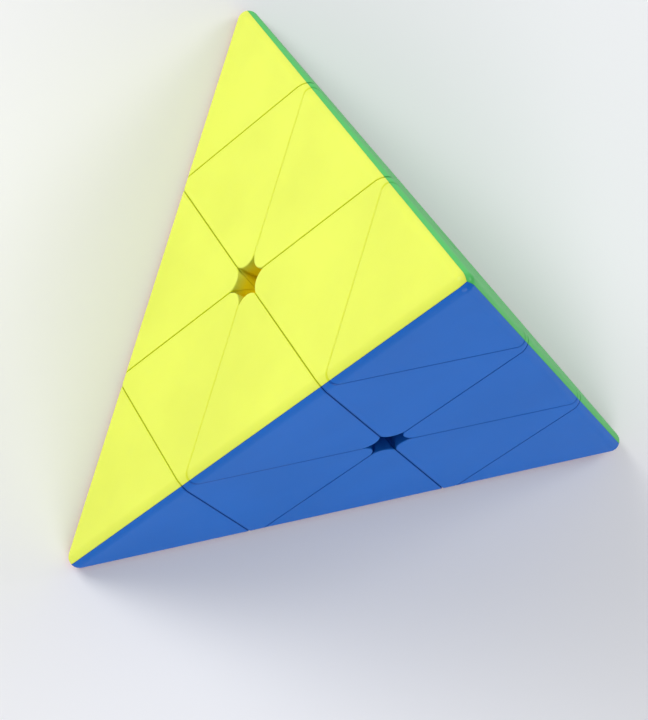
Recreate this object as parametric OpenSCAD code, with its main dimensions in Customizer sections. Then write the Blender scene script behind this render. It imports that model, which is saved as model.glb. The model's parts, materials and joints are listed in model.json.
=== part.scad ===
// Pyramid twisty puzzle: four tips, four turning corners and six edges on a four-armed core.
// The origin is the middle of the puzzle, where all its turning axes cross. The puzzle stands
// on its red face, +Z points to the top tip, and the yellow face looks towards -Y.

/* [Pyramid] */
// Length of an outer edge between its sharp points, about 4 mm more than over the blunt tips
sharp_len = 102; // [98:1:120]
// Radius along the six outer edges
edge_round = 1.5; // [1:0.1:1.8]
// How far a blunt tip falls short of the sharp point
tip_cut = 3.6; // [3.2:0.1:4.4]
// Radius of the six piece corners around the hole in the middle of a face
star_round = 2.7; // [2:0.1:3.2]

/* [Layers] */
// Half of the gap between two neighbouring pieces
gap = 0.12; // [0.08:0.01:0.2]
// Half of the hairline between two coloured shells of one piece
hairline = 0.02; // [0.01:0.01:0.04]
// Thickness of a coloured wall on an outer face
plate = 2; // [1.6:0.1:2.4]
// Thickness of a coloured wall in a seam
wall = 1.5; // [1.2:0.1:1.8]
// Depth of the coloured caps on a corner
skirt = 5; // [4:0.1:5]
// Thickness behind a sliding face, which holds a magnet
slide_wall = 3; // [2.8:0.1:3.4]

/* [Mechanism] */
// Radius of the ball that the feet of the edges turn in
ball_r = 15.5; // [14.5:0.1:15.5]
// Inner radius of the feet
foot_inner_r = 9.5; // [9:0.1:10.5]
// Clearance between turning surfaces inside
run_gap = 0.15; // [0.1:0.01:0.2]
// Radius of the core's middle
core_r = 8; // [7:0.1:8]
// Radius of a core arm, which a corner turns on
arm_r = 3; // [2.8:0.1:3.2]
// Running clearance of an arm in its corner and of a stem in its socket
fit_gap = 0.08; // [0.05:0.01:0.1]
// Outer radius of the tube inside a corner
tube_r = 5.6; // [5.5:0.1:5.8]
// Radius of the stem that a tip turns on
stem_r = 4; // [3.8:0.1:4]
// Shank radius of a corner screw
screw_r = 1.25; // [1:0.05:1.25]
// Magnet radius
magnet_r = 2; // [1.5:0.1:2.2]
// Magnet thickness
magnet_h = 1.5; // [1:0.1:1.6]

/* [Hidden] */
$fn = 48;

// Tips, and the face opposite each tip, by number
top = 0;
left = 1;
right = 2;
back = 3;
red = top;
blue = left;
green = right;
yellow = back;
FACE_COLOURS = ["#c9202c", "#2f66bd", "#1c8a4c", "#ecf45c"];
FRAME_COLOUR = "#2b2c30";
METAL_COLOUR = "#b9bcc2";

face_dist = sharp_len / (2 * sqrt(6));      // from the centre to a face
vertex_dist = 3 * face_dist;                // from the centre to a sharp point
mid_edge_dist = sharp_len / (2 * sqrt(2));  // from the centre to the middle of an edge
layer_cut = face_dist / 3;                  // from the centre to the cut under a corner layer
tip_plane = 5 * face_dist / 3;              // from the centre to the cut under a tip
cone_angle = acos(1 / 3);                   // half-angle of a layer's share of the ball
reach = 150;                                // side of the blocks that planes are made of
skin = 0.02;                                // lets a rounding cross the faces it blends
past = 1;                                   // how far a cut or a joined piece runs past a surface

// Heights along a corner's own axis, from the centre
arm_bottom = 6;
arm_top = 12.4;
web_bottom = 12.6;
web_top = 14.8;
washer_bottom = 20;
washer_top = 20.5;
screw_top = 22.6;
stem_bottom = 25.4;
stem_bore_top = 32;
screw_bottom = 5;
screw_head_r = 2.7;
washer_r = 3.4;
recess_r = 1.2;
recess_depth = 1;
spring_r = 2.7;
wire_r = 0.35;
spring_turns = 4;
magnet_skin = 0.6;
top_wall = 2.4;
base_wall = 1.8;
stem_top = tip_plane + base_wall + past;

// Unit vectors from the centre to the tips
tip_polar = 180 - cone_angle;
function tip_dir(azimuth) = [
    sin(tip_polar) * cos(azimuth),
    sin(tip_polar) * sin(azimuth),
    cos(tip_polar)
];
DIR = [[0, 0, 1], tip_dir(210), tip_dir(330), tip_dir(90)];

function others(v) = [for (i = [top:back]) if (i != v) i];
function rest(v, w) = [for (i = [top:back]) if (i != v && i != w) i];
function unit(a) = a / norm(a);

// Turns +Z to a direction
module aim(dir) {
    rotate([0, acos(dir.z), atan2(dir.y, dir.x)]) children();
}

// Everything nearer than a plane square to dir
module below(dir, dist) {
    aim(dir) translate([-reach / 2, -reach / 2, dist - reach]) cube(reach);
}

// Everything past a plane square to dir
module beyond(dir, dist) {
    aim(dir) translate([-reach / 2, -reach / 2, dist]) cube(reach);
}

// The side of the plane through an outer edge that is nearer to face x than to face y
module nearer(x, y) {
    beyond(unit(DIR[y] - DIR[x]), hairline);
}

// A round bar along a corner's axis, between two heights
module axial_bar(v, r, from, to) {
    aim(DIR[v]) translate([0, 0, from]) cylinder(r = r, h = to - from);
}

// What the rounding of the outer edge between tips v and w takes off
module edge_sharpness(v, w) {
    out = unit(DIR[v] + DIR[w]);
    difference() {
        beyond(out, mid_edge_dist - 2 / sqrt(3) * edge_round);
        translate(out * (mid_edge_dist - sqrt(3) * edge_round))
            aim(unit(DIR[v] - DIR[w])) cylinder(r = edge_round + skin, h = reach, center = true);
    }
}

// Turns +Z out of face x, and +X along that face to one of its corners
module on_face(x) {
    out = -DIR[x];
    corner = DIR[others(x)[0]];
    along = unit(corner - (corner * out) * out);
    across = cross(out, along);
    multmatrix([
        [along.x, across.x, out.x, 0],
        [along.y, across.y, out.y, 0],
        [along.z, across.z, out.z, 0]
    ]) children();
}

// What the rounded piece corners leave open in the middle of face x: a hexagon less six discs
module star_hole(x) {
    flat_dist = 1.5 * star_round + 2 * gap;
    on_face(x) translate([0, 0, face_dist - skirt]) difference() {
        rotate(30) cylinder(r = flat_dist / cos(30), h = 2 * skirt, $fn = 6);
        for (i = [0:5]) rotate(60 * i)
            translate([2 * (star_round + gap), 0, -skirt]) cylinder(r = star_round + skin, h = 4 * skirt);
    }
}

// Space of a corner, drawn in by an amount at its seams, its outer faces and its top
module corner_space(v, side_in, face_in, top_in) {
    intersection() {
        beyond(DIR[v], layer_cut + gap);
        below(DIR[v], tip_plane - gap - top_in);
        intersection_for (w = others(v)) {
            intersection() {
                below(DIR[w], layer_cut - gap - side_in);
                below(-DIR[w], face_dist - face_in);
            }
        }
    }
}

// Magnet in the sliding face on the layer cut of v, shared by corner w and the edge between them.
// side is 1 in the edge, past the cut, and -1 in the corner, short of it.
module magnet(v, w, side, grow) {
    middle = vertex_dist * (2 / 9 * DIR[v] + DIR[w] / 3);
    inset = gap + magnet_skin + magnet_h / 2;
    translate(middle + side * inset * DIR[v]) aim(DIR[v])
        cylinder(r = magnet_r + grow, h = magnet_h + 2 * grow, center = true);
}

// Coloured third of a tip, over face x
module tip_cap(v, x) {
    color(FACE_COLOURS[x]) difference() {
        intersection() {
            aim(DIR[v]) rotate([0, 90, 0]) sphere(r = vertex_dist - tip_cut);
            beyond(DIR[v], tip_plane + gap);
            below(-DIR[x], face_dist);
            nearer(x, rest(v, x)[0]);
            nearer(x, rest(v, x)[1]);
        }
        tip_cavity(v);
        axial_bar(v, stem_r, tip_plane - past, stem_top);
        for (w = rest(v, x)) edge_sharpness(v, w);
    }
}

// Hollow inside the three caps of a tip
module tip_cavity(v) {
    intersection() {
        beyond(DIR[v], tip_plane + gap + base_wall);
        intersection_for (w = others(v)) below(-DIR[w], face_dist - plate);
    }
}

// Hub of a tip: it fills the caps and turns in its corner on a hollow stem
module tip_hub(v) {
    color(FRAME_COLOUR) difference() {
        union() {
            tip_cavity(v);
            axial_bar(v, stem_r, stem_bottom, stem_top);
        }
        axial_bar(v, stem_r - wall, stem_bottom - past, stem_bore_top);
    }
}

// Space inside the caps of a corner, clear of the holes in the middle of its faces
module corner_inside(v) {
    difference() {
        corner_space(v, wall, plate, wall);
        for (x = others(v)) on_face(x) translate([0, 0, face_dist - skirt])
            cylinder(r = star_round + 2 * gap + wall, h = skirt);
    }
}

// Coloured cap of a corner, on face x
module corner_cap(v, x) {
    color(FACE_COLOURS[x]) difference() {
        intersection() {
            corner_space(v, 0, 0, 0);
            beyond(-DIR[x], face_dist - skirt);
            nearer(x, rest(v, x)[0]);
            nearer(x, rest(v, x)[1]);
        }
        corner_inside(v);
        axial_bar(v, tube_r, web_top, tip_plane);
        sphere(r = ball_r + run_gap);
        star_hole(x);
        for (w = rest(v, x)) edge_sharpness(v, w);
    }
}

// Open frame of a corner: it carries the caps, holds the feet down and turns on a core arm
module corner_frame(v) {
    color(FRAME_COLOUR) difference() {
        union() {
            difference() {
                union() {
                    corner_space(v, 0, skirt, 0);
                    corner_inside(v);
                }
                sphere(r = ball_r + run_gap);
                difference() {
                    corner_space(v, slide_wall, 0, top_wall);
                    sphere(r = ball_r + slide_wall);
                }
            }
            axial_bar(v, tube_r, core_r + run_gap, tip_plane - gap);
        }
        axial_bar(v, arm_r + fit_gap, core_r - past, web_bottom);
        axial_bar(v, screw_r + run_gap, core_r - past, web_top + past);
        axial_bar(v, stem_r + fit_gap, web_top, tip_plane + past);
        for (w = others(v)) magnet(w, v, -1, skin);
    }
}

module corner_magnets(v) {
    color(METAL_COLOUR) for (w = others(v)) magnet(w, v, -1, 0);
}

// Half of an edge, over face x: a hollow wedge on half of the foot
module edge_half(v, w, x) {
    y = rest(v, w)[0] + rest(v, w)[1] - x;
    color(FACE_COLOURS[x]) difference() {
        intersection() {
            union() {
                edge_space(v, w, 0, 0);
                edge_foot(v, w);
            }
            nearer(x, y);
        }
        sphere(r = foot_inner_r);
        edge_space(v, w, slide_wall, plate);
        edge_sharpness(v, w);
        star_hole(x);
        magnet(v, w, 1, skin);
        magnet(w, v, 1, skin);
    }
}

// Space of an edge, drawn in by an amount at its seams and its outer faces
module edge_space(v, w, side_in, face_in) {
    intersection() {
        beyond(DIR[v], layer_cut + gap + side_in);
        beyond(DIR[w], layer_cut + gap + side_in);
        intersection_for (x = rest(v, w)) below(-DIR[x], face_dist - face_in);
    }
}

// Foot of an edge: the part of the ball that both of its layers share
module edge_foot(v, w) {
    intersection() {
        sphere(r = ball_r);
        layer_cone(v);
        layer_cone(w);
    }
}

module layer_cone(v) {
    aim(DIR[v]) translate([0, 0, run_gap / sin(cone_angle)])
        cylinder(r1 = 0, r2 = 2 * ball_r * tan(cone_angle), h = 2 * ball_r);
}

module edge_magnets(v, w) {
    color(METAL_COLOUR) {
        magnet(v, w, 1, 0);
        magnet(w, v, 1, 0);
    }
}

// Core: a ball with four arms, each bored for its screw
module core() {
    color(FRAME_COLOUR) difference() {
        union() {
            sphere(r = core_r);
            for (v = [top:back]) axial_bar(v, arm_r, arm_bottom, arm_top);
        }
        for (v = [top:back]) axial_bar(v, screw_r + skin, screw_bottom - past, arm_top + past);
    }
}

// One screw for each arm, with a six-sided driver recess
module screws() {
    color(METAL_COLOUR) for (v = [top:back]) difference() {
        union() {
            axial_bar(v, screw_r, screw_bottom, washer_top + past);
            axial_bar(v, screw_head_r, washer_top, screw_top);
        }
        aim(DIR[v]) translate([0, 0, screw_top - recess_depth])
            cylinder(r = recess_r, h = recess_depth + past, $fn = 6);
    }
}

module washers() {
    color(METAL_COLOUR) for (v = [top:back]) difference() {
        axial_bar(v, washer_r, washer_bottom, washer_top);
        axial_bar(v, screw_r + run_gap, washer_bottom - past, washer_top + past);
    }
}

// One compression spring for each corner, pressed between its web and its washer
module springs() {
    color(METAL_COLOUR) for (v = [top:back]) aim(DIR[v]) translate([0, 0, web_top]) coil_spring();
}

coil_steps = 12;  // rings of wire in a turn
wire_sides = 6;
function coil_ring(i) =
    let (
        turn = 360 * i / coil_steps,
        rise = wire_r + (washer_bottom - web_top - 2 * wire_r) * i / (coil_steps * spring_turns)
    )
    [for (k = [0:wire_sides - 1])
        let (a = 360 * k / wire_sides, r = spring_r + wire_r * cos(a))
        [r * cos(turn), r * sin(turn), rise + wire_r * sin(a)]];

module coil_spring() {
    rings = coil_steps * spring_turns;
    points = [for (i = [0:rings]) for (p = coil_ring(i)) p];
    walls = [for (i = [0:rings - 1]) for (k = [0:wire_sides - 1])
        let (next = (k + 1) % wire_sides, here = wire_sides * i, there = here + wire_sides)
        [here + k, there + k, there + next, here + next]];
    first_end = [for (k = [0:wire_sides - 1]) k];
    last_end = [for (k = [wire_sides - 1:-1:0]) wire_sides * rings + k];
    polyhedron(points = points, faces = concat(walls, [first_end, last_end]), convexity = 10);
}

module tip_top_yellow_cap() { tip_cap(top, yellow); }
module tip_top_blue_cap() { tip_cap(top, blue); }
module tip_top_green_cap() { tip_cap(top, green); }
module tip_top_hub() { tip_hub(top); }

module tip_left_yellow_cap() { tip_cap(left, yellow); }
module tip_left_green_cap() { tip_cap(left, green); }
module tip_left_red_cap() { tip_cap(left, red); }
module tip_left_hub() { tip_hub(left); }

module tip_right_yellow_cap() { tip_cap(right, yellow); }
module tip_right_blue_cap() { tip_cap(right, blue); }
module tip_right_red_cap() { tip_cap(right, red); }
module tip_right_hub() { tip_hub(right); }

module tip_back_blue_cap() { tip_cap(back, blue); }
module tip_back_green_cap() { tip_cap(back, green); }
module tip_back_red_cap() { tip_cap(back, red); }
module tip_back_hub() { tip_hub(back); }

module corner_top_yellow_cap() { corner_cap(top, yellow); }
module corner_top_blue_cap() { corner_cap(top, blue); }
module corner_top_green_cap() { corner_cap(top, green); }
module corner_top_frame() { corner_frame(top); }
module corner_top_magnets() { corner_magnets(top); }

module corner_left_yellow_cap() { corner_cap(left, yellow); }
module corner_left_green_cap() { corner_cap(left, green); }
module corner_left_red_cap() { corner_cap(left, red); }
module corner_left_frame() { corner_frame(left); }
module corner_left_magnets() { corner_magnets(left); }

module corner_right_yellow_cap() { corner_cap(right, yellow); }
module corner_right_blue_cap() { corner_cap(right, blue); }
module corner_right_red_cap() { corner_cap(right, red); }
module corner_right_frame() { corner_frame(right); }
module corner_right_magnets() { corner_magnets(right); }

module corner_back_blue_cap() { corner_cap(back, blue); }
module corner_back_green_cap() { corner_cap(back, green); }
module corner_back_red_cap() { corner_cap(back, red); }
module corner_back_frame() { corner_frame(back); }
module corner_back_magnets() { corner_magnets(back); }

module edge_top_left_yellow_half() { edge_half(top, left, yellow); }
module edge_top_left_green_half() { edge_half(top, left, green); }
module edge_top_left_magnets() { edge_magnets(top, left); }

module edge_top_right_yellow_half() { edge_half(top, right, yellow); }
module edge_top_right_blue_half() { edge_half(top, right, blue); }
module edge_top_right_magnets() { edge_magnets(top, right); }

module edge_top_back_blue_half() { edge_half(top, back, blue); }
module edge_top_back_green_half() { edge_half(top, back, green); }
module edge_top_back_magnets() { edge_magnets(top, back); }

module edge_left_right_yellow_half() { edge_half(left, right, yellow); }
module edge_left_right_red_half() { edge_half(left, right, red); }
module edge_left_right_magnets() { edge_magnets(left, right); }

module edge_left_back_green_half() { edge_half(left, back, green); }
module edge_left_back_red_half() { edge_half(left, back, red); }
module edge_left_back_magnets() { edge_magnets(left, back); }

module edge_right_back_blue_half() { edge_half(right, back, blue); }
module edge_right_back_red_half() { edge_half(right, back, red); }
module edge_right_back_magnets() { edge_magnets(right, back); }

core();
screws();
springs();
washers();
tip_top_yellow_cap();
tip_top_blue_cap();
tip_top_green_cap();
tip_top_hub();
tip_left_yellow_cap();
tip_left_green_cap();
tip_left_red_cap();
tip_left_hub();
tip_right_yellow_cap();
tip_right_blue_cap();
tip_right_red_cap();
tip_right_hub();
tip_back_blue_cap();
tip_back_green_cap();
tip_back_red_cap();
tip_back_hub();
corner_top_yellow_cap();
corner_top_blue_cap();
corner_top_green_cap();
corner_top_frame();
corner_top_magnets();
corner_left_yellow_cap();
corner_left_green_cap();
corner_left_red_cap();
corner_left_frame();
corner_left_magnets();
corner_right_yellow_cap();
corner_right_blue_cap();
corner_right_red_cap();
corner_right_frame();
corner_right_magnets();
corner_back_blue_cap();
corner_back_green_cap();
corner_back_red_cap();
corner_back_frame();
corner_back_magnets();
edge_top_left_yellow_half();
edge_top_left_green_half();
edge_top_left_magnets();
edge_top_right_yellow_half();
edge_top_right_blue_half();
edge_top_right_magnets();
edge_top_back_blue_half();
edge_top_back_green_half();
edge_top_back_magnets();
edge_left_right_yellow_half();
edge_left_right_red_half();
edge_left_right_magnets();
edge_left_back_green_half();
edge_left_back_red_half();
edge_left_back_magnets();
edge_right_back_blue_half();
edge_right_back_red_half();
edge_right_back_magnets();
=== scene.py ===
"""Looks of a pyramid twisty puzzle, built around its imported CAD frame.

The coloured shells are rebuilt here with rounded seams and hollow backs. The inner parts keep
their CAD meshes. Shapes are worked out in millimetres and scaled to metres at the end.
"""

import json
from itertools import combinations
from math import cos, pi, radians, sin, sqrt

import bmesh
import bpy
from mathutils import Matrix, Vector

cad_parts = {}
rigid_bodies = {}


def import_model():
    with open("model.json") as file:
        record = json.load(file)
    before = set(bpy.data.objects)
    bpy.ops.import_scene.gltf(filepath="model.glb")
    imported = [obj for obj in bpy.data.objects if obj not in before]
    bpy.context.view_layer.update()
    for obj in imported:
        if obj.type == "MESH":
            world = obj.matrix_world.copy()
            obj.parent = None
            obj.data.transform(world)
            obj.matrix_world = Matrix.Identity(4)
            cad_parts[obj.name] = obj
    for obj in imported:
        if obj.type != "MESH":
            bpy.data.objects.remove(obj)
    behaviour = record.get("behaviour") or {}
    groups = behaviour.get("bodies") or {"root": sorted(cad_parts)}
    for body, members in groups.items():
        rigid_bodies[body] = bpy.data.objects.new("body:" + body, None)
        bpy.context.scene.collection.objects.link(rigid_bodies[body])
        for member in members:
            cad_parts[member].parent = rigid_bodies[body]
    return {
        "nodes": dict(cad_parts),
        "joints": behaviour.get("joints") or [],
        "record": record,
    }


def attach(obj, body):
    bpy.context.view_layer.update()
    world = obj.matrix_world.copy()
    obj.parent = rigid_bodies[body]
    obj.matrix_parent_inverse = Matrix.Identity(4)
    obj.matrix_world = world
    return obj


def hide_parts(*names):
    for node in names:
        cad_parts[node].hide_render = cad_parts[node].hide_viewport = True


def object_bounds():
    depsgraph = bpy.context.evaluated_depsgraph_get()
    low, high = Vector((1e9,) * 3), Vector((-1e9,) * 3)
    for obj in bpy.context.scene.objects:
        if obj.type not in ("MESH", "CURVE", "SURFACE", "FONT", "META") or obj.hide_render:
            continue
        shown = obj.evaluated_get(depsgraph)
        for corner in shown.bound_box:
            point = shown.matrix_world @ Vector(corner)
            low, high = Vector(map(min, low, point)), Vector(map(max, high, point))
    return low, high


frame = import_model()
cad_low, cad_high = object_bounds()

MM = 0.001
TIPS = ("top", "left", "right", "back")
FACE_OF = {"top": "red", "left": "blue", "right": "green", "back": "yellow"}  # opposite each tip
COLOURS = ("yellow", "blue", "green", "red")

# Unit vectors from the middle of the puzzle to the tips, and out of the faces
TURN_AXIS = {j["name"]: Vector(j["axis"]).normalized() for j in frame["joints"]}
TO_TIP = {tip: TURN_AXIS["turn_" + tip] for tip in TIPS}
OUT = {FACE_OF[tip]: -TO_TIP[tip] for tip in TIPS}
OPPOSITE = {FACE_OF[tip]: tip for tip in TIPS}

# Distances from the middle, in millimetres
FACE_DIST = -cad_low.z / MM
TIP_END = cad_high.z / MM
VERTEX_DIST = 3 * FACE_DIST
LAYER_CUT = FACE_DIST / 3
TIP_PLANE = 5 * FACE_DIST / 3

# Shells, in millimetres
EDGE_ROUND = (VERTEX_DIST - TIP_END) / 2    # a ball this big touches a tip's faces and its end
HALF_GAP = 0.028        # half of the slit between two neighbouring pieces
SEAM_SOFT = 0.2         # how far the rounding along a seam reaches into each face
STAR_ROUND = 2.7        # radius of a piece's corner at the hole in the middle of a face
HAIRLINE = 0.02         # half of the hairline between two coloured shells of one piece
PLATE = 2.0             # thickness of a shell on an outer face
WALL = 1.5              # thickness of a corner cap in a seam
SKIRT = 5.0             # depth of the corner caps
SLIDE_WALL = 3.0        # thickness of an edge half behind a seam
BASE_WALL = 1.8         # thickness of a tip cap's base
STEM_R = 4.0            # radius of the bore in a tip cap's base
TUBE_R = 5.6            # radius of the bore through the corner caps
HOLE_FLOOR = 0.6        # thickness that a corner keeps under the hole in the middle of a face
TONGUE_R = 6.5          # how far from a face's middle a corner cap wraps the point of its frame
TONGUE_DEPTH = 7.5      # how far below a face that part of the cap reaches
BALL_R = 15.5           # radius of the ball that the feet of the edges turn in
FOOT_INNER_R = 9.5      # inner radius of the feet
RUN_GAP = 0.15          # clearance between turning surfaces inside
INSET = 0.01            # keeps a joined piece's faces off the shell's own
PAST = 1.0              # how far a cutter runs past a surface
REACH = 150.0           # half the side of the cube that cutters are made from
WELD = 0.02             # points of a finished shell closer than this become one

ARC_STEPS = 12          # flats around an outer edge, even so that one ends at the hairline
BEVEL_STEPS = 3         # flats along a seam
LIP_STEPS = 4           # flats around the rim of the hole in the middle of a face
BALL_SEGMENTS = 96      # flats around a ball, a bore or a column

SAME_PLANE = radians(0.3)       # neighbouring faces of a hull closer than this become one
SEAM_ANGLE = radians(25)        # an edge along a seam is rounded from this angle on
SHADE_ANGLE = radians(35)       # an edge is shaded sharp from this angle on
RIM_ANGLE = radians(8)          # a rounding turns at least this far away from the seam's plane
RIM_REACH = 1.1                 # how far a rim may run, in roundings
ON_PLANE = 1e-5                 # points this near to a cutting plane lie on it
NO_LENGTH = 1e-6                # in metres

# What a mesh face belongs to, and the kinds between which an edge is rounded
SKIN, SEAM, SPLIT, INSIDE = range(4)
ROUND_BETWEEN = ({SKIN, SEAM}, {SEAM})


def faces_at(*tips):
    """The colours of the faces that hold all these tips"""
    return [c for c in COLOURS if OPPOSITE[c] not in tips]


# ---------------------------------------------------------------- convex solids

def slerp(a, b, share):
    angle = a.angle(b)
    return (a * sin((1 - share) * angle) + b * sin(share * angle)) / sin(angle)


def between_faces(normals, weights):
    """A direction between three face normals, in even steps along each side"""
    used = [i for i in range(3) if weights[i]]
    if len(used) == 1:
        return normals[used[0]]
    if len(used) == 2:
        a, b = used
        return slerp(normals[a], normals[b], weights[b] / sum(weights))
    total = Vector()
    for a in range(3):
        b, c = (a + 1) % 3, (a + 2) % 3
        far = slerp(normals[b], normals[c], weights[c] / (weights[b] + weights[c]))
        total += slerp(far, normals[a], weights[a] / sum(weights))
    return total.normalized()


def rounded_pyramid():
    """The outside of the whole puzzle: a tetrahedron with round edges and a ball at each tip"""
    bm = bmesh.new()
    for tip in TIPS:
        middle = TO_TIP[tip] * (VERTEX_DIST - 3 * EDGE_ROUND)
        normals = [OUT[c] for c in faces_at(tip)]
        for i in range(ARC_STEPS + 1):
            for j in range(ARC_STEPS + 1 - i):
                weights = (i, j, ARC_STEPS - i - j)
                bm.verts.new(middle + between_faces(normals, weights) * EDGE_ROUND)
    bmesh.ops.convex_hull(bm, input=bm.verts[:])
    bmesh.ops.dissolve_limit(bm, angle_limit=SAME_PLANE, verts=bm.verts[:], edges=bm.edges[:])
    bm.faces.layers.int.new("part")
    return bm


def big_cube():
    bm = bmesh.new()
    bmesh.ops.create_cube(bm, size=2 * REACH)
    bm.faces.layers.int.new("part")
    return bm


def cut(bm, planes):
    """Keeps what lies nearer than each plane (direction, distance, part) and closes the cut"""
    part = bm.faces.layers.int["part"]
    for direction, distance, kind in planes:
        everything = bm.verts[:] + bm.edges[:] + bm.faces[:]
        bmesh.ops.bisect_plane(bm, geom=everything, dist=ON_PLANE, plane_co=direction * distance,
                               plane_no=direction, clear_outer=True)
        rim = [e for e in bm.edges if e.is_boundary]
        for face in bmesh.ops.holes_fill(bm, edges=rim, sides=0)["faces"]:
            face[part] = kind
    return bm


def mark_sharp(bm):
    """Gives full bevel weight to the sharp edges that moulding leaves soft"""
    part = bm.faces.layers.int["part"]
    weight = bm.edges.layers.float.new("bevel_weight_edge")
    for edge in bm.edges:
        kinds = {face[part] for face in edge.link_faces}
        if kinds in ROUND_BETWEEN and edge.calc_face_angle() > SEAM_ANGLE:
            edge[weight] = 1


def mesh_of(bm, name):
    mesh = bpy.data.meshes.new(name)
    bm.normal_update()
    bm.to_mesh(mesh)
    bm.free()
    return mesh


def object_of(mesh):
    thing = bpy.data.objects.new(mesh.name, mesh)
    bpy.context.scene.collection.objects.link(thing)
    return thing


def block(planes, name):
    """A solid bounded by planes"""
    return object_of(mesh_of(cut(big_cube(), planes), name))


def applied(thing):
    """Replaces an object's mesh by what its modifiers make of it"""
    bpy.context.view_layer.update()
    seen = thing.evaluated_get(bpy.context.evaluated_depsgraph_get())
    mesh = bpy.data.meshes.new_from_object(seen)
    thing.modifiers.clear()
    old, thing.data = thing.data, mesh
    bpy.data.meshes.remove(old)
    return thing


def rounded(bm, name):
    """An object of a convex solid with its seams rounded"""
    mark_sharp(bm)
    thing = object_of(mesh_of(bm, name))
    bevel = thing.modifiers.new("round", "BEVEL")
    bevel.limit_method = "WEIGHT"
    bevel.width = SEAM_SOFT
    bevel.segments = BEVEL_STEPS
    bevel.use_clamp_overlap = False
    return applied(thing)


def combine(thing, tool, operation):
    """Joins a tool to a solid, cuts it away or keeps the common part, and deletes the tool"""
    step = thing.modifiers.new(operation, "BOOLEAN")
    step.operation = operation
    step.solver = "MANIFOLD"
    step.object = tool
    applied(thing)
    bpy.data.objects.remove(tool)
    return thing


def ball(radius):
    bm = bmesh.new()
    bmesh.ops.create_uvsphere(bm, u_segments=BALL_SEGMENTS, v_segments=BALL_SEGMENTS // 2,
                              radius=radius)
    bm.faces.layers.int.new("part")
    return object_of(mesh_of(bm, "ball"))


def lathe(profile, matrix):
    """A solid turned about Z from a profile of (radius, height), closed flat at both ends"""
    bm = bmesh.new()
    turns = [2 * pi * i / BALL_SEGMENTS for i in range(BALL_SEGMENTS)]
    rings = []
    for radius, height in profile:
        points = [matrix @ Vector((radius * cos(a), radius * sin(a), height)) for a in turns]
        rings.append([bm.verts.new(point) for point in points])
    for low_ring, high_ring in zip(rings, rings[1:]):
        for i in range(BALL_SEGMENTS):
            j = (i + 1) % BALL_SEGMENTS
            bm.faces.new((low_ring[i], low_ring[j], high_ring[j], high_ring[i]))
    bm.faces.new(rings[0][::-1])
    bm.faces.new(rings[-1])
    return object_of(mesh_of(bm, "turned"))


def axial_cone(tip, r_from, r_to, z_from, z_to):
    """A round bar or cone along a tip's axis"""
    bm = bmesh.new()
    turn = TO_TIP[tip].to_track_quat("Z", "X").to_matrix().to_4x4()
    place = turn @ Matrix.Translation((0, 0, (z_from + z_to) / 2))
    bmesh.ops.create_cone(bm, segments=BALL_SEGMENTS, radius1=r_from, radius2=r_to,
                          depth=z_to - z_from, cap_ends=True, matrix=place)
    return object_of(mesh_of(bm, "cone"))


# ---------------------------------------------------------------- planes of the pieces

def above(tip, distance, kind):
    return (-TO_TIP[tip], -distance, kind)


def under(tip, distance, kind):
    return (TO_TIP[tip], distance, kind)


def own_side(colour, others):
    """Keeps what is nearer to this face than to the others, less a hairline"""
    return [((OUT[c] - OUT[colour]).normalized(), -HAIRLINE, SPLIT) for c in others]


def on_face(colour):
    """Turns +Z out of a face, and +X along it from its middle to one of its tips"""
    out = OUT[colour]
    tip = TO_TIP[next(t for t in TIPS if t != OPPOSITE[colour])]
    along = (tip - tip.dot(out) * out).normalized()
    return Matrix((along, out.cross(along), out)).transposed().to_4x4()


def star_cutter(colour):
    """What the hole in a face takes away: a hexagon less six columns with soft rims"""
    bottom, top = FACE_DIST - SKIRT + HOLE_FLOOR, FACE_DIST + PAST
    bm = bmesh.new()
    flat_dist = 1.5 * STAR_ROUND + 2 * HALF_GAP     # the flats run through the columns
    corner_dist = flat_dist / cos(radians(30))
    place = Matrix.Translation((0, 0, (bottom + top) / 2)) @ Matrix.Rotation(radians(30), 4, "Z")
    bmesh.ops.create_cone(bm, segments=6, radius1=corner_dist, radius2=corner_dist,
                          depth=top - bottom, cap_ends=True, matrix=on_face(colour) @ place)
    cutter = object_of(mesh_of(bm, "star_cutter"))
    profile = [(STAR_ROUND, bottom - PAST)]
    for i in range(LIP_STEPS + 1):
        angle = radians(90) * i / LIP_STEPS
        inward, down = SEAM_SOFT * (1 - cos(angle)), SEAM_SOFT * (1 - sin(angle))
        profile.append((STAR_ROUND - inward, FACE_DIST - down))
    profile.append((STAR_ROUND - SEAM_SOFT, top + PAST))
    for i in range(6):
        turn = Matrix.Rotation(radians(60) * i, 4, "Z")
        shift = Matrix.Translation((2 * (STAR_ROUND + HALF_GAP), 0, 0))
        combine(cutter, lathe(profile, on_face(colour) @ turn @ shift), "DIFFERENCE")
    return cutter


def corner_planes(tip, kind, side_in=0.0, top_in=0.0, bottom=LAYER_CUT + HALF_GAP):
    planes = [above(tip, bottom, kind), under(tip, TIP_PLANE - HALF_GAP - top_in, kind)]
    planes += [under(w, LAYER_CUT - HALF_GAP - side_in, kind) for w in TIPS if w != tip]
    return planes


def edge_planes(v, w, kind, side_in=0.0):
    return [above(tip, LAYER_CUT + HALF_GAP + side_in, kind) for tip in (v, w)]


def face_planes(colours, depth):
    return [(OUT[c], FACE_DIST - depth, INSIDE) for c in colours]


# ---------------------------------------------------------------- shells

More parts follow.
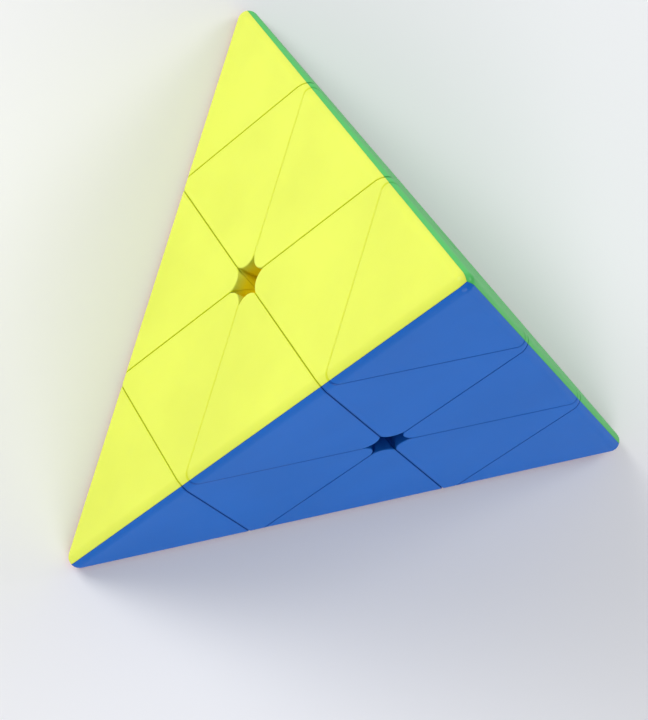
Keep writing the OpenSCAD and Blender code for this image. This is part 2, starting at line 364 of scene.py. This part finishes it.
def tip_cap(tip, colour):
    others = [c for c in faces_at(tip) if c != colour]
    planes = [above(tip, TIP_PLANE + HALF_GAP, SEAM)] + own_side(colour, others)
    shell = rounded(cut(rounded_pyramid(), planes), "tip_cap")
    hollow = [above(tip, TIP_PLANE + HALF_GAP + BASE_WALL, INSIDE)]
    combine(shell, block(hollow + face_planes(faces_at(tip), PLATE), "hollow"), "DIFFERENCE")
    bore = axial_cone(tip, STEM_R, STEM_R, TIP_PLANE - PAST, TIP_PLANE + BASE_WALL + PAST)
    return combine(shell, bore, "DIFFERENCE")


def corner_cap(tip, colour):
    others = [c for c in faces_at(tip) if c != colour]
    planes = corner_planes(tip, SEAM) + own_side(colour, others)
    planes.append((-OUT[colour], SKIRT - FACE_DIST, INSIDE))
    shell = rounded(cut(rounded_pyramid(), planes), "corner_cap")
    combine(shell, tongue(tip, colour), "UNION")
    combine(shell, object_of(STAR_CUTTERS[colour].copy()), "DIFFERENCE")
    planes = corner_planes(tip, INSIDE, side_in=WALL, top_in=WALL, bottom=LAYER_CUT)
    hollow = block(planes + face_planes(faces_at(tip), PLATE), "hollow")
    collar_r = STAR_ROUND + 2 * HALF_GAP + WALL
    profile = [(collar_r, FACE_DIST - TONGUE_DEPTH), (collar_r, FACE_DIST)]
    combine(hollow, lathe(profile, on_face(colour)), "DIFFERENCE")
    combine(shell, hollow, "DIFFERENCE")
    return combine(shell, axial_cone(tip, TUBE_R, TUBE_R, LAYER_CUT, TIP_PLANE), "DIFFERENCE")


def tongue(tip, colour):
    """The lower point of a corner cap, down to the ball, seen through the hole in a face"""
    others = [c for c in faces_at(tip) if c != colour]
    planes = corner_planes(tip, INSIDE, side_in=INSET) + own_side(colour, others)
    planes.append((-OUT[colour], TONGUE_DEPTH - FACE_DIST, INSIDE))
    planes.append((OUT[colour], FACE_DIST - SKIRT + HOLE_FLOOR / 2, INSIDE))
    spoke = on_face(colour).inverted() @ TO_TIP[tip]
    spoke = on_face(colour) @ Vector((spoke.x, spoke.y, 0)).normalized()
    planes.append((spoke, TONGUE_R, INSIDE))
    return combine(block(planes, "tongue"), ball(BALL_R + RUN_GAP), "DIFFERENCE")


def foot_half(v, w, colour, other):
    """Half of the foot of an edge: the part of a thick ball that both of its layers share"""
    foot = ball(BALL_R)
    combine(foot, ball(FOOT_INNER_R), "DIFFERENCE")
    steepness = sqrt(8)                 # tangent of half the angle of a layer's cone
    start = 3 * RUN_GAP / steepness     # leaves the clearance along the cone's side
    for tip in (v, w):
        cone = axial_cone(tip, 0, 2 * BALL_R * steepness, start, start + 2 * BALL_R)
        combine(foot, cone, "INTERSECT")
    return combine(foot, block(own_side(colour, [other]), "half"), "INTERSECT")


def edge_half(v, w, colour):
    other = [c for c in faces_at(v, w) if c != colour][0]
    planes = edge_planes(v, w, SEAM) + own_side(colour, [other])
    shell = rounded(cut(rounded_pyramid(), planes), "edge_half")
    combine(shell, object_of(STAR_CUTTERS[colour].copy()), "DIFFERENCE")
    hollow = edge_planes(v, w, INSIDE, side_in=SLIDE_WALL) + face_planes((colour, other), PLATE)
    combine(shell, block(hollow, "hollow"), "DIFFERENCE")
    combine(shell, ball(FOOT_INNER_R), "DIFFERENCE")
    return combine(shell, foot_half(v, w, colour, other), "UNION")


def mark_seam_shade(mesh):
    """Marks the narrow faces that round the seams, which the material darkens with painted shade
    """
    rim = mesh.attributes.new("rim", "FLOAT", "FACE")
    reach = (HALF_GAP + RIM_REACH * SEAM_SOFT) * MM
    for face in mesh.polygons:
        points = [mesh.vertices[i].co for i in face.vertices]
        for tip in TO_TIP.values():
            for height in (LAYER_CUT * MM, TIP_PLANE * MM):
                near = all(abs(p.dot(tip) - height) < reach for p in points)
                if near and abs(face.normal.dot(tip)) < cos(RIM_ANGLE):
                    rim.data[face.index].value = 1


def weld(mesh):
    """Closes up the slivers that the cuts leave, and deletes loose edges and points"""
    bm = bmesh.new()
    bm.from_mesh(mesh)
    bmesh.ops.remove_doubles(bm, verts=bm.verts[:], dist=WELD * MM)
    bmesh.ops.dissolve_degenerate(bm, edges=bm.edges[:], dist=NO_LENGTH)
    bmesh.ops.delete(bm, geom=[e for e in bm.edges if not e.link_faces], context="EDGES")
    bmesh.ops.delete(bm, geom=[v for v in bm.verts if not v.link_faces], context="VERTS")
    bm.to_mesh(mesh)
    bm.free()


def finish_shell(shell, node, colour):
    """Metres, shading that keeps the flats flat, and the CAD node that the shell stands for"""
    mesh = shell.data
    mesh.name = shell.name = node + "_shell"
    mesh.transform(Matrix.Scale(MM, 4))
    weld(mesh)
    for face in mesh.polygons:
        face.use_smooth = True
    mesh.set_sharp_from_angle(angle=SHADE_ANGLE)
    mark_seam_shade(mesh)
    normals = shell.modifiers.new("flat_faces", "WEIGHTED_NORMAL")
    normals.keep_sharp = True
    normals.weight = 100                # the largest, so that wide faces decide
    mesh.materials.clear()
    mesh.materials.append(MATERIALS[colour])
    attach(shell, body_of(node))
    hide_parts(node)


def body_of(node):
    return next(b for b, nodes in frame["record"]["behaviour"]["bodies"].items() if node in nodes)


# ---------------------------------------------------------------- materials

DRIFT = 0.94            # how much deeper a plastic gets where its colour drifts
HOLE_SHADE_FROM = 20.8        # distance from the middle, in millimetres, where the painted shade of the hole begins
HOLE_SHADE_TO = 19.0          # and where it has taken over


def node_tree(name):
    material = bpy.data.materials.new(name)
    material.use_nodes = True
    nodes = material.node_tree.nodes
    return material, nodes, material.node_tree.links, nodes["Principled BSDF"]


def noise(nodes, links, where, scale, detail=2.0, rough=0.5, stretch=None):
    """A noise in object space, scale in cells per metre"""
    if stretch:
        mapping = nodes.new("ShaderNodeMapping")
        mapping.inputs["Scale"].default_value = stretch
        mapping.inputs["Rotation"].default_value = (0.3, 0.5, 0.8)
        links.new(where, mapping.inputs["Vector"])
        where = mapping.outputs["Vector"]
    texture = nodes.new("ShaderNodeTexNoise")
    texture.inputs["Scale"].default_value = scale
    texture.inputs["Detail"].default_value = detail
    texture.inputs["Roughness"].default_value = rough
    links.new(where, texture.inputs["Vector"])
    return texture.outputs["Fac"]


def ramp(nodes, links, value, low, high, to_low, to_high):
    """Maps the values from low to high onto another range"""
    step = nodes.new("ShaderNodeMapRange")
    step.inputs["From Min"].default_value = low
    step.inputs["From Max"].default_value = high
    step.inputs["To Min"].default_value = to_low
    step.inputs["To Max"].default_value = to_high
    links.new(value, step.inputs["Value"])
    return step.outputs["Result"]


def bump(nodes, links, height, distance, strength, below=None):
    step = nodes.new("ShaderNodeBump")
    step.inputs["Distance"].default_value = distance
    step.inputs["Strength"].default_value = strength
    links.new(height, step.inputs["Height"])
    if below:
        links.new(below, step.inputs["Normal"])
    return step.outputs["Normal"]


def blend_colours(nodes, links, factor, first, second):
    step = nodes.new("ShaderNodeMix")
    step.data_type = "RGBA"
    for socket, colour in (("A", first), ("B", second)):
        if isinstance(colour, bpy.types.NodeSocket):
            links.new(colour, step.inputs[socket])
        else:
            step.inputs[socket].default_value = colour
    links.new(factor, step.inputs["Factor"])
    return step.outputs["Result"]


def moulded(name, light, seam_shade_tone, inner, roughness, glow):
    """Glossy moulded plastic: slow colour drift, a faint orange peel and fine hairline scratches.
    The roundings along the seams get painted shade, and what lies near the middle, down in the
    hole of a face, gets painted shade tinted like light bounced between its walls."""
    deep = [DRIFT * value for value in light[:3]] + [1]
    material, nodes, links, shader = node_tree(name)
    where = nodes.new("ShaderNodeTexCoord").outputs["Object"]
    slow = noise(nodes, links, where, scale=55, detail=3)
    drift = ramp(nodes, links, slow, 0.35, 0.65, 0, 1)
    colour = blend_colours(nodes, links, drift, light, deep)
    # painted shade: the roundings along the seams are darkened, as the slit between two pieces
    # would shade them
    rim = nodes.new("ShaderNodeAttribute")
    rim.attribute_name = "rim"
    colour = blend_colours(nodes, links, rim.outputs["Fac"], colour, seam_shade_tone)
    # painted shade down in the hole of each face, deeper towards the middle; the inner colour is
    # tinted like light bounced between the walls
    radius = nodes.new("ShaderNodeVectorMath")
    radius.operation = "LENGTH"
    links.new(where, radius.inputs[0])
    hole_shade_share = ramp(nodes, links, radius.outputs["Value"], HOLE_SHADE_FROM * MM, HOLE_SHADE_TO * MM, 0, 1)
    links.new(blend_colours(nodes, links, hole_shade_share, colour, inner), shader.inputs["Base Color"])
    scratch = noise(nodes, links, where, scale=420, detail=4, rough=0.6, stretch=(1, 26, 26))
    rough = ramp(nodes, links, scratch, 0.42, 0.62, roughness - 0.04, roughness + 0.06)
    links.new(rough, shader.inputs["Roughness"])
    waves = noise(nodes, links, where, scale=90, detail=1)
    sink = bump(nodes, links, waves, distance=0.0004, strength=0.12)
    pores = noise(nodes, links, where, scale=2600, detail=3)
    peel = bump(nodes, links, pores, distance=0.00003, strength=0.35, below=sink)
    fine = bump(nodes, links, scratch, distance=0.00001, strength=0.25, below=peel)
    links.new(fine, shader.inputs["Normal"])
    links.new(fine, shader.inputs["Coat Normal"])
    shader.inputs["IOR"].default_value = 1.53
    shader.inputs["Specular IOR Level"].default_value = 0
    shader.inputs["Coat Weight"].default_value = 0.3
    shader.inputs["Coat Roughness"].default_value = 0.16
    shader.inputs["Coat IOR"].default_value = 1.5
    shader.inputs["Subsurface Weight"].default_value = glow
    shader.inputs["Subsurface Radius"].default_value = (1.0, 0.8, 0.35)
    shader.inputs["Subsurface Scale"].default_value = 0.0012
    return material


def satin_frame():
    """Dark nylon of the inner parts, with a fine spark-eroded texture"""
    material, nodes, links, shader = node_tree("frame_nylon")
    where = nodes.new("ShaderNodeTexCoord").outputs["Object"]
    slow = noise(nodes, links, where, scale=300, detail=4)
    drift = ramp(nodes, links, slow, 0.35, 0.65, 0, 1)
    dark, lit = (0.020, 0.021, 0.024, 1), (0.034, 0.035, 0.040, 1)
    links.new(blend_colours(nodes, links, drift, dark, lit), shader.inputs["Base Color"])
    grain = noise(nodes, links, where, scale=4200, detail=4, rough=0.6)
    links.new(ramp(nodes, links, grain, 0.3, 0.7, 0.42, 0.60), shader.inputs["Roughness"])
    peel = bump(nodes, links, grain, distance=0.00005, strength=0.5)
    links.new(peel, shader.inputs["Normal"])
    return material


def plated_metal():
    """Plated steel of the screws, washers, springs and magnets, with fine drawing lines"""
    material, nodes, links, shader = node_tree("plated_steel")
    where = nodes.new("ShaderNodeTexCoord").outputs["Object"]
    lines = noise(nodes, links, where, scale=900, detail=4, rough=0.6, stretch=(1, 1, 18))
    tint = ramp(nodes, links, lines, 0.3, 0.7, 0, 1)
    grey, bright = (0.50, 0.51, 0.53, 1), (0.66, 0.67, 0.69, 1)
    links.new(blend_colours(nodes, links, tint, grey, bright), shader.inputs["Base Color"])
    links.new(ramp(nodes, links, lines, 0.3, 0.7, 0.22, 0.38), shader.inputs["Roughness"])
    grooves = bump(nodes, links, lines, distance=0.00002, strength=0.4)
    links.new(grooves, shader.inputs["Normal"])
    shader.inputs["Metallic"].default_value = 1
    return material


# seam_shade_tone is painted shade on the seam roundings; inner is painted shade down in the hole
# of each face, tinted gold for yellow like light bounced between yellow walls
MATERIALS = {
    "yellow": moulded("yellow_abs", (0.74, 0.82, 0.100, 1), seam_shade_tone=(0.66, 0.73, 0.042, 1),
                      inner=(0.95, 0.79, 0.012, 1), roughness=0.26, glow=0.25),
    "blue": moulded("blue_abs", (0.010, 0.130, 0.520, 1), seam_shade_tone=(0.007, 0.090, 0.400, 1),
                    inner=(0.005, 0.070, 0.360, 1), roughness=0.24, glow=0.06),
    "green": moulded("green_abs", (0.090, 0.530, 0.125, 1), seam_shade_tone=(0.065, 0.400, 0.090, 1),
                     inner=(0.035, 0.320, 0.070, 1), roughness=0.24, glow=0.06),
    "red": moulded("red_abs", (0.560, 0.010, 0.016, 1), seam_shade_tone=(0.430, 0.007, 0.012, 1),
                   inner=(0.360, 0.005, 0.008, 1), roughness=0.24, glow=0.06),
    "frame": satin_frame(),
    "metal": plated_metal(),
}


# ---------------------------------------------------------------- pieces

STAR_CUTTERS = {colour: star_cutter(colour).data for colour in COLOURS}


def build_shells():
    for tip in TIPS:
        for colour in faces_at(tip):
            finish_shell(tip_cap(tip, colour), f"tip_{tip}_{colour}_cap", colour)
            finish_shell(corner_cap(tip, colour), f"corner_{tip}_{colour}_cap", colour)
    for v, w in combinations(TIPS, 2):
        for colour in faces_at(v, w):
            finish_shell(edge_half(v, w, colour), f"edge_{v}_{w}_{colour}_half", colour)


def clear_cutters():
    for mesh in STAR_CUTTERS.values():
        for thing in [o for o in bpy.data.objects if o.data == mesh]:
            bpy.data.objects.remove(thing)


def dress_inner_parts():
    """CAD nodes that stay: hubs, frames and the core in nylon, fasteners and magnets in steel"""
    slots = {s["node"]: s["material_slot"] for s in frame["record"]["subparts"]}
    for name, node in frame["nodes"].items():
        if slots[name] in ("frame", "metal"):
            node.data.materials.clear()
            node.data.materials.append(MATERIALS[slots[name]])


# ---------------------------------------------------------------- studio

def pale_floor():
    bm = bmesh.new()
    bmesh.ops.create_grid(bm, x_segments=1, y_segments=1, size=3)
    floor = object_of(mesh_of(bm, "floor"))
    floor.location.z = cad_low.z
    material, nodes, links, shader = node_tree("pale_floor")
    where = nodes.new("ShaderNodeTexCoord").outputs["Object"]
    drift = noise(nodes, links, where, scale=4, detail=2)
    links.new(blend_colours(nodes, links, drift, (0.86, 0.86, 0.87, 1), (0.89, 0.89, 0.90, 1)),
              shader.inputs["Base Color"])
    shader.inputs["Roughness"].default_value = 0.6
    floor.data.materials.append(material)


def soft_light(name, place, size, power):
    """A square softbox that faces the middle of the puzzle"""
    data = bpy.data.lights.new(name, "AREA")
    data.shape = "SQUARE"
    data.size = size
    data.energy = power
    light = bpy.data.objects.new(name, data)
    light.location = place
    light.rotation_euler = (-Vector(place)).to_track_quat("-Z", "Y").to_euler()
    bpy.context.scene.collection.objects.link(light)


def studio():
    world = bpy.data.worlds.new("studio")
    world.use_nodes = True
    back = world.node_tree.nodes["Background"]
    back.inputs["Color"].default_value = (0.93, 0.95, 1.0, 1)
    back.inputs["Strength"].default_value = 0.42
    bpy.context.scene.world = world
    bpy.context.scene.view_settings.view_transform = "Standard"
    soft_light("key", (-0.30, -0.85, 0.50), size=0.55, power=7.6)
    soft_light("fill", (0.80, 0.40, 0.35), size=0.6, power=4.4)
    soft_light("rim", (-0.6, 0.55, 0.45), size=0.35, power=2.1)


def place_camera():
    """The camera looks steeply down on the upright pyramid, turned about its line of sight"""
    azimuth, elevation, roll = radians(-52.67), radians(73.24), radians(-70.79)
    distance = 0.4753
    aim = Vector((0.00627, -0.00194, -0.00161))
    back = Vector((cos(elevation) * cos(azimuth), cos(elevation) * sin(azimuth), sin(elevation)))
    level = (-back).cross(Vector((0, 0, 1))).normalized()
    right = cos(roll) * level + sin(roll) * (-back).cross(level)
    up = back.cross(right)
    data = bpy.data.cameras.new("camera")
    data.sensor_fit = "VERTICAL"
    data.sensor_height = 36
    data.lens = 149.3
    data.clip_start = 0.01
    camera = bpy.data.objects.new("camera", data)
    turn = Matrix((right, up, back)).transposed().to_4x4()
    camera.matrix_world = Matrix.Translation(aim + back * distance) @ turn
    bpy.context.scene.collection.objects.link(camera)
    bpy.context.scene.camera = camera


place_camera()
studio()
pale_floor()
build_shells()
clear_cutters()
dress_inner_parts()
